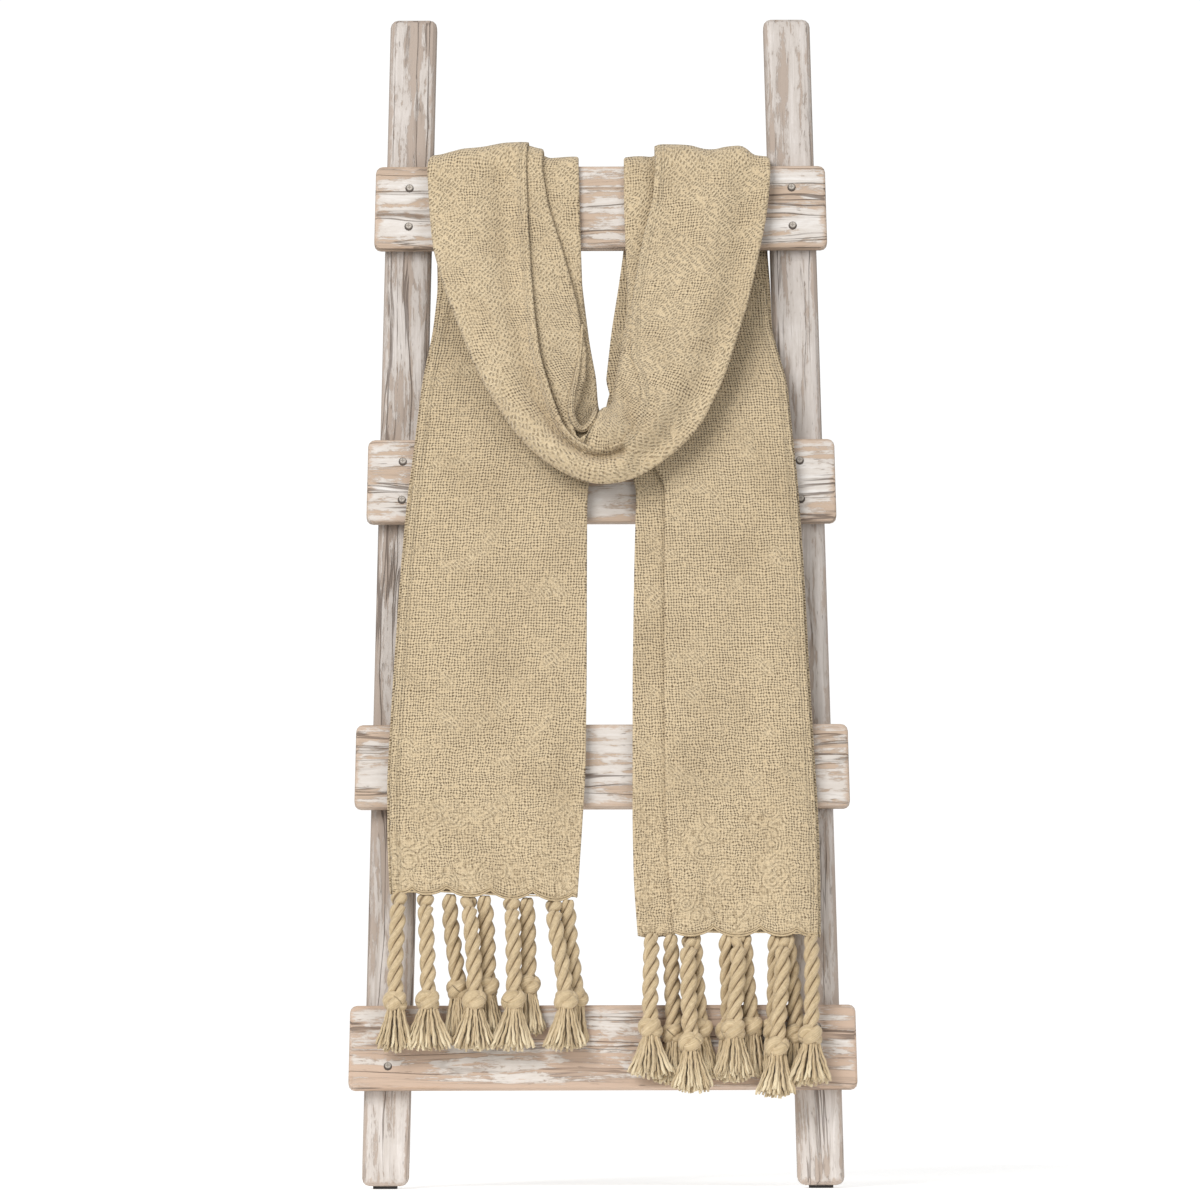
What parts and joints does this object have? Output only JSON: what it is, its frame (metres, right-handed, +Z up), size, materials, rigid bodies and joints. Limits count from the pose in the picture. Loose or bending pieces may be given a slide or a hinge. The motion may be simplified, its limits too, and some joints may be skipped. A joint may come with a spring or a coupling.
{
  "type": "blanket ladder with a fringed throw",
  "caption": "Leaning wooden blanket ladder with flat screwed-on rungs, carrying a woven cotton throw draped as a swag with two hanging tails and knotted tassels.",
  "frame": {"origin": "on the floor, at the middle of the underside of the whole object's box", "axes": "+Z up; the front with the throw's swag and tassels faces -Y; the ladder leans back towards +Y; +X is to the right seen from the front"},
  "size_m": [0.5202, 0.2798, 1.2001],
  "materials": {
    "whitewashed_wood": "white paint rubbed back to bare pinkish timber along the edges and grain, matt",
    "worn_screw": "dulled zinc with traces of paint",
    "foot_pad": "dark matt pad",
    "woven_cotton": "beige crinkle-woven cotton, soft and matt",
    "cotton_rope": "beige twisted cotton cord with loose strands"
  },
  "bodies": {
    "ladder": {"left_rail": "whitewashed_wood", "right_rail": "whitewashed_wood", "top_rung": "whitewashed_wood", "upper_rung": "whitewashed_wood", "lower_rung": "whitewashed_wood", "bottom_rung": "whitewashed_wood", "top_rung_screw_1": "worn_screw", "top_rung_screw_2": "worn_screw", "top_rung_screw_3": "worn_screw", "top_rung_screw_4": "worn_screw", "upper_rung_screw_1": "worn_screw", "upper_rung_screw_2": "worn_screw", "upper_rung_screw_3": "worn_screw", "upper_rung_screw_4": "worn_screw", "lower_rung_screw_1": "worn_screw", "lower_rung_screw_2": "worn_screw", "lower_rung_screw_3": "worn_screw", "lower_rung_screw_4": "worn_screw", "bottom_rung_screw_1": "worn_screw", "bottom_rung_screw_2": "worn_screw", "bottom_rung_screw_3": "worn_screw", "bottom_rung_screw_4": "worn_screw", "left_foot_pad": "foot_pad", "right_foot_pad": "foot_pad", "throw": "woven_cotton"},
    "left_fringe": {"left_tassel_1": "cotton_rope", "left_tassel_2": "cotton_rope", "left_tassel_3": "cotton_rope", "left_tassel_4": "cotton_rope", "left_tassel_5": "cotton_rope", "left_tassel_6": "cotton_rope", "left_tassel_7": "cotton_rope", "left_tassel_8": "cotton_rope", "left_tassel_9": "cotton_rope"},
    "right_fringe": {"right_tassel_1": "cotton_rope", "right_tassel_2": "cotton_rope", "right_tassel_3": "cotton_rope", "right_tassel_4": "cotton_rope", "right_tassel_5": "cotton_rope", "right_tassel_6": "cotton_rope", "right_tassel_7": "cotton_rope", "right_tassel_8": "cotton_rope", "right_tassel_9": "cotton_rope", "right_tassel_10": "cotton_rope", "right_tassel_11": "cotton_rope"}
  },
  "joints": [
    {"name": "left_fringe_swing", "type": "hinge", "parent": "ladder", "child": "left_fringe", "pos_m": [0, -0.08772, 0.29203], "axis": [-1, 0, 0], "range_deg": [0, 35]},
    {"name": "right_fringe_swing", "type": "hinge", "parent": "ladder", "child": "right_fringe", "pos_m": [0, -0.09519, 0.24968], "axis": [-1, 0, 0], "range_deg": [0, 35]}
  ]
}
